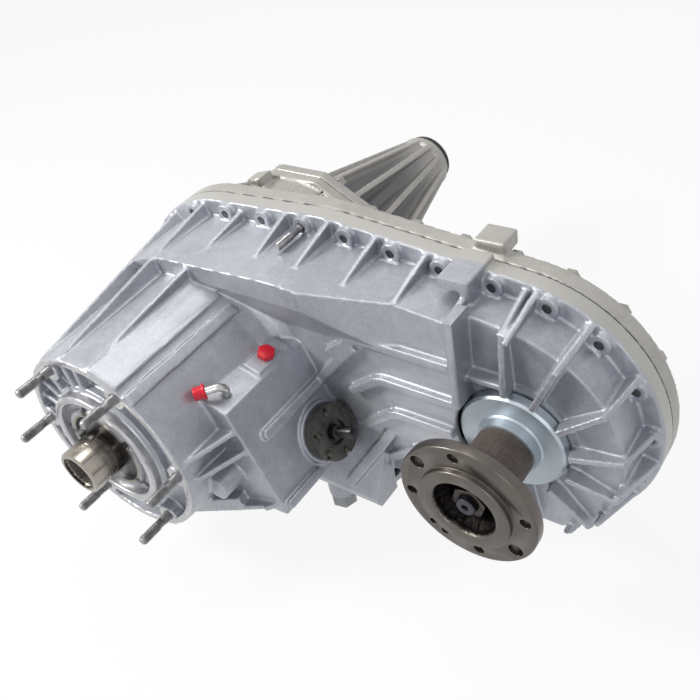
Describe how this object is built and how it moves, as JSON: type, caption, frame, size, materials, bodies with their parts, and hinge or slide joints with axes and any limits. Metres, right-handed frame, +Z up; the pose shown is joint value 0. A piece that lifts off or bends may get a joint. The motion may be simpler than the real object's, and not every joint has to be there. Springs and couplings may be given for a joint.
{
  "type": "transfer case",
  "caption": "Transfer case: ribbed cast shell with a studded input face, planetary low range, chain drive to an offset front output flange, and a long finned tail housing.",
  "frame": {"origin": "centre of the input mounting face, where the stud circle and the input axis meet", "axes": "+Y to the rear along the shafts, +X towards the front output shaft, +Z up"},
  "size_m": [0.569, 0.6037, 0.307],
  "materials": {
    "cast_aluminium": "as cast, blasted",
    "machined_steel": "turned",
    "gear_steel": "ground",
    "chain_steel": "dark",
    "flange_steel": "turned",
    "retainer_steel": "pressed",
    "bearing_steel": "polished",
    "seal_rubber": "moulded",
    "bronze": "turned",
    "zinc_steel": "zinc plated",
    "pressed_steel": "pressed",
    "cast_iron_forks": "cast",
    "pump_aluminium": "die cast",
    "magnet_black": "sintered",
    "housing_grey": "die cast",
    "vent_metal": "plated",
    "vent_plastic": "moulded",
    "red_plastic": "moulded"
  },
  "bodies": {
    "case": {"front_case": "cast_aluminium", "rear_case": "cast_aluminium", "tail_housing": "cast_aluminium", "tail_seal": "seal_rubber", "tail_bush": "bronze", "input_retainer": "retainer_steel", "input_seal": "seal_rubber", "input_bearing": "bearing_steel", "main_shaft_bearing": "bearing_steel", "front_output_bearing": "bearing_steel", "front_output_rear_bearing": "bearing_steel", "front_output_seal": "seal_rubber", "bearing_snap_ring": "machined_steel", "input_studs": "zinc_steel", "rim_stud": "zinc_steel", "case_bolts": "zinc_steel", "case_dowels": "machined_steel", "tail_bolts": "zinc_steel", "ring_gear": "gear_steel", "drive_chain": "chain_steel", "shift_housing": "housing_grey", "shift_housing_screws": "zinc_steel", "shift_rail": "machined_steel", "oil_pump": "pump_aluminium", "oil_pickup": "pressed_steel", "magnet": "magnet_black", "vent_tube": "vent_metal", "vent_cap": "vent_plastic", "port_cap": "red_plastic", "drain_plug": "zinc_steel", "fill_plug": "zinc_steel"},
    "input": {"input_shaft": "machined_steel", "input_splines": "machined_steel", "sun_gear": "gear_steel"},
    "carrier": {"planet_carrier": "gear_steel", "planet_pins": "machined_steel"},
    "planet_1": {"planet_gear_1": "gear_steel"},
    "planet_2": {"planet_gear_2": "gear_steel"},
    "planet_3": {"planet_gear_3": "gear_steel"},
    "planet_4": {"planet_gear_4": "gear_steel"},
    "main": {"main_shaft": "machined_steel", "mode_hub": "machined_steel", "tone_ring": "machined_steel"},
    "drive_wheel": {"drive_sprocket": "gear_steel"},
    "front_output": {"front_output_shaft": "machined_steel", "driven_sprocket": "gear_steel", "output_flange": "flange_steel", "flange_nut": "zinc_steel", "flange_washer": "zinc_steel", "dust_shield": "pressed_steel"},
    "range_ring": {"range_collar": "machined_steel"},
    "mode_ring": {"mode_collar": "machined_steel"},
    "sector": {"sector_shaft": "machined_steel", "sector_plate": "pressed_steel"},
    "range_shifter": {"range_fork": "cast_iron_forks"},
    "mode_shifter": {"mode_fork": "cast_iron_forks"}
  },
  "joints": [
    {"name": "input_spin", "type": "hinge", "parent": "case", "child": "input", "pos_m": [0, 0, 0], "axis": [0, 1, 0], "continuous": true},
    {"name": "carrier_spin", "type": "hinge", "parent": "case", "child": "carrier", "pos_m": [0, 0, 0], "axis": [0, 1, 0], "continuous": true},
    {"name": "planet_1_spin", "type": "hinge", "parent": "carrier", "child": "planet_1", "pos_m": [0.057, 0, 0], "axis": [0, 1, 0], "continuous": true},
    {"name": "planet_2_spin", "type": "hinge", "parent": "carrier", "child": "planet_2", "pos_m": [0, 0, 0.057], "axis": [0, 1, 0], "continuous": true},
    {"name": "planet_3_spin", "type": "hinge", "parent": "carrier", "child": "planet_3", "pos_m": [-0.057, 0, 0], "axis": [0, 1, 0], "continuous": true},
    {"name": "planet_4_spin", "type": "hinge", "parent": "carrier", "child": "planet_4", "pos_m": [0, 0, -0.057], "axis": [0, 1, 0], "continuous": true},
    {"name": "main_spin", "type": "hinge", "parent": "case", "child": "main", "pos_m": [0, 0, 0], "axis": [0, 1, 0], "continuous": true},
    {"name": "drive_wheel_spin", "type": "hinge", "parent": "case", "child": "drive_wheel", "pos_m": [0, 0, 0], "axis": [0, 1, 0], "continuous": true},
    {"name": "front_output_spin", "type": "hinge", "parent": "case", "child": "front_output", "pos_m": [0.323, 0, 0], "axis": [0, 1, 0], "continuous": true},
    {"name": "selector_turn", "type": "hinge", "parent": "case", "child": "sector", "pos_m": [0.14303, 0.129, -0.03627], "axis": [0.9397, 0, 0.342], "range_deg": [-36, 0]},
    {"name": "range_fork_slide", "type": "slide", "parent": "case", "child": "range_shifter", "axis": [0, 1, 0], "range_m": [-0.016, 0]},
    {"name": "mode_fork_slide", "type": "slide", "parent": "case", "child": "mode_shifter", "axis": [0, 1, 0], "range_m": [-0.016, 0]},
    {"name": "range_collar_slide", "type": "slide", "parent": "main", "child": "range_ring", "axis": [0, 1, 0], "range_m": [-0.016, 0]},
    {"name": "mode_collar_slide", "type": "slide", "parent": "main", "child": "mode_ring", "axis": [0, 1, 0], "range_m": [-0.016, 0]}
  ],
  "couplings": [
    {"joint": "carrier_spin", "follows": "input_spin", "ratio": 0.36842},
    {"joint": "main_spin", "follows": "input_spin", "ratio": 0.36842},
    {"joint": "drive_wheel_spin", "follows": "input_spin", "ratio": 0.36842},
    {"joint": "front_output_spin", "follows": "input_spin", "ratio": 0.36842},
    {"joint": "planet_1_spin", "follows": "input_spin", "ratio": -1.7684},
    {"joint": "planet_2_spin", "follows": "input_spin", "ratio": -1.7684},
    {"joint": "planet_3_spin", "follows": "input_spin", "ratio": -1.7684},
    {"joint": "planet_4_spin", "follows": "input_spin", "ratio": -1.7684},
    {"joint": "mode_fork_slide", "follows": "range_fork_slide", "ratio": 1},
    {"joint": "range_collar_slide", "follows": "range_fork_slide", "ratio": 1},
    {"joint": "mode_collar_slide", "follows": "range_fork_slide", "ratio": 1},
    {"joint": "selector_turn", "follows": "range_fork_slide", "rad_per_m": 39.27}
  ]
}
